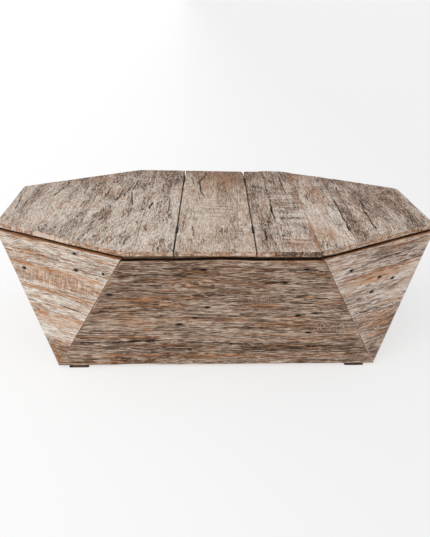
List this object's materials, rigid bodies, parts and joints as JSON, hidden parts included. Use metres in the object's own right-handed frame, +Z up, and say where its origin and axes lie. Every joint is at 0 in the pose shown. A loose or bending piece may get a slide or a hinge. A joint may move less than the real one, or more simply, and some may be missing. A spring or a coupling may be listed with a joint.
{
  "type": "lidded storage chest",
  "caption": "Low eight-cornered storage chest of reclaimed boards, with a fixed middle plank and a hinged lid on each side of it.",
  "frame": {"origin": "on the floor under the centre of the chest", "axes": "+X along the length to the right, +Y to the back, +Z up"},
  "size_m": [1.27, 0.762, 0.4084],
  "materials": {
    "wall_wood": "weathered, dark brown-grey",
    "corner_wood": "weathered, pale with orange bands",
    "lid_wood": "weathered, grey-beige",
    "plank_wood": "weathered, tan",
    "inner_wood": "rough-sawn, unfinished",
    "foot_pad": "dark stained",
    "hinge_steel": "dark, aged"
  },
  "bodies": {
    "chest": {"back_board_1": "wall_wood", "back_board_2": "wall_wood", "back_board_3": "wall_wood", "back_ledger_rail": "inner_wood", "floor_panel": "inner_wood", "front_board_1": "wall_wood", "front_board_2": "wall_wood", "front_board_3": "wall_wood", "front_board_4": "wall_wood", "front_ledger_rail": "inner_wood", "left_back_corner_board_1": "corner_wood", "left_back_corner_board_2": "corner_wood", "left_back_corner_board_3": "corner_wood", "left_back_foot": "foot_pad", "left_back_hinge_pin": "hinge_steel", "left_back_hinge_plank_leaf": "hinge_steel", "left_end_board_1": "wall_wood", "left_end_board_2": "wall_wood", "left_end_board_3": "wall_wood", "left_end_ledger_rail": "inner_wood", "left_front_corner_board_1": "corner_wood", "left_front_corner_board_2": "corner_wood", "left_front_corner_board_3": "corner_wood", "left_front_corner_board_4": "corner_wood", "left_front_foot": "foot_pad", "left_front_hinge_pin": "hinge_steel", "left_front_hinge_plank_leaf": "hinge_steel", "middle_plank": "plank_wood", "right_back_corner_board_1": "corner_wood", "right_back_corner_board_2": "corner_wood", "right_back_corner_board_3": "corner_wood", "right_back_foot": "foot_pad", "right_back_hinge_pin": "hinge_steel", "right_back_hinge_plank_leaf": "hinge_steel", "right_end_board_1": "wall_wood", "right_end_board_2": "wall_wood", "right_end_board_3": "wall_wood", "right_end_ledger_rail": "inner_wood", "right_front_corner_board_1": "corner_wood", "right_front_corner_board_2": "corner_wood", "right_front_corner_board_3": "corner_wood", "right_front_corner_board_4": "corner_wood", "right_front_foot": "foot_pad", "right_front_hinge_pin": "hinge_steel", "right_front_hinge_plank_leaf": "hinge_steel"},
    "left_lid": {"left_back_hinge_lid_leaf": "hinge_steel", "left_front_hinge_lid_leaf": "hinge_steel", "left_lid_back_batten": "inner_wood", "left_lid_board_1": "lid_wood", "left_lid_board_2": "lid_wood", "left_lid_board_3": "lid_wood", "left_lid_front_batten": "inner_wood"},
    "right_lid": {"right_back_hinge_lid_leaf": "hinge_steel", "right_front_hinge_lid_leaf": "hinge_steel", "right_lid_back_batten": "inner_wood", "right_lid_board_1": "lid_wood", "right_lid_board_2": "lid_wood", "right_lid_board_3": "lid_wood", "right_lid_board_4": "lid_wood", "right_lid_front_batten": "inner_wood"}
  },
  "joints": [
    {"name": "left_lid_hinge", "type": "hinge", "parent": "chest", "child": "left_lid", "pos_m": [-0.1116, 0, 0.406], "axis": [0.0427, 0.9991, 0], "range_deg": [0, 100]},
    {"name": "right_lid_hinge", "type": "hinge", "parent": "chest", "child": "right_lid", "pos_m": [0.1026, 0, 0.406], "axis": [-0.0427, -0.9991, 0], "range_deg": [0, 100]}
  ]
}
